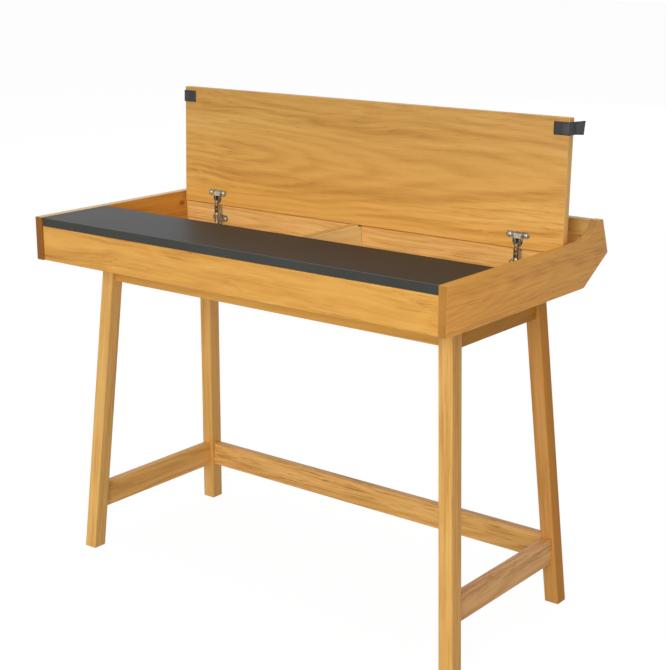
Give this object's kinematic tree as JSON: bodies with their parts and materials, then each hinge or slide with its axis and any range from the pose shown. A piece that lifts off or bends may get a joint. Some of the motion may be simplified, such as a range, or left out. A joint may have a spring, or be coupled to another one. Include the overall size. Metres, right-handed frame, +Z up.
{
  "type": "writing desk",
  "caption": "Oak writing desk on splayed legs, with a black writing slab, a storage well under a lift-up flap on concealed hinges, and a cable trough at the back.",
  "frame": {"origin": "on the floor, under the middle of the desk's overall box", "axes": "+X to the right of a person facing the desk's front, +Y to the back, +Z up"},
  "size_m": [1.1, 0.6017, 1.062],
  "materials": {
    "oak": "oiled oak, satin",
    "black_laminate": "matt",
    "black_leather": "matt",
    "nickel": "nickel plated",
    "screw_steel": "bright",
    "beech": "bare"
  },
  "bodies": {
    "desk": {"left_side_panel": "oak", "right_side_panel": "oak", "front_panel": "oak", "writing_slab": "black_laminate", "bottom_panel": "oak", "centre_divider": "oak", "hinge_wall": "oak", "back_panel": "oak", "lower_back_panel": "oak", "front_left_leg": "oak", "front_right_leg": "oak", "rear_left_leg": "oak", "rear_right_leg": "oak", "front_rail": "oak", "rear_rail": "oak", "left_rail": "oak", "right_rail": "oak", "left_stretcher": "oak", "right_stretcher": "oak", "rear_stretcher": "oak", "front_panel_left_lower_dowel": "beech", "front_panel_left_upper_dowel": "beech", "front_panel_right_lower_dowel": "beech", "front_panel_right_upper_dowel": "beech", "hinge_wall_left_lower_dowel": "beech", "hinge_wall_left_upper_dowel": "beech", "hinge_wall_right_lower_dowel": "beech", "hinge_wall_right_upper_dowel": "beech", "front_left_frame_screw": "screw_steel", "front_right_frame_screw": "screw_steel", "rear_left_frame_screw": "screw_steel", "rear_right_frame_screw": "screw_steel", "left_hinge_arm": "nickel", "right_hinge_arm": "nickel", "left_hinge_plate": "nickel", "right_hinge_plate": "nickel", "left_plate_screw_a": "screw_steel", "left_plate_screw_b": "screw_steel", "left_arm_screw_a": "screw_steel", "left_arm_screw_b": "screw_steel", "right_plate_screw_a": "screw_steel", "right_plate_screw_b": "screw_steel", "right_arm_screw_a": "screw_steel", "right_arm_screw_b": "screw_steel"},
    "flap": {"flap": "oak", "left_pull_tab": "black_leather", "right_pull_tab": "black_leather", "left_hinge_cup": "nickel", "right_hinge_cup": "nickel", "left_hinge_pin": "screw_steel", "right_hinge_pin": "screw_steel", "left_cup_screw_a": "screw_steel", "left_cup_screw_b": "screw_steel", "right_cup_screw_a": "screw_steel", "right_cup_screw_b": "screw_steel"}
  },
  "joints": [
    {"name": "flap_hinge", "type": "hinge", "parent": "desk", "child": "flap", "pos_m": [0, 0.1605, 0.7955], "axis": [1, 0, 0], "range_deg": [0, 91.75]}
  ]
}
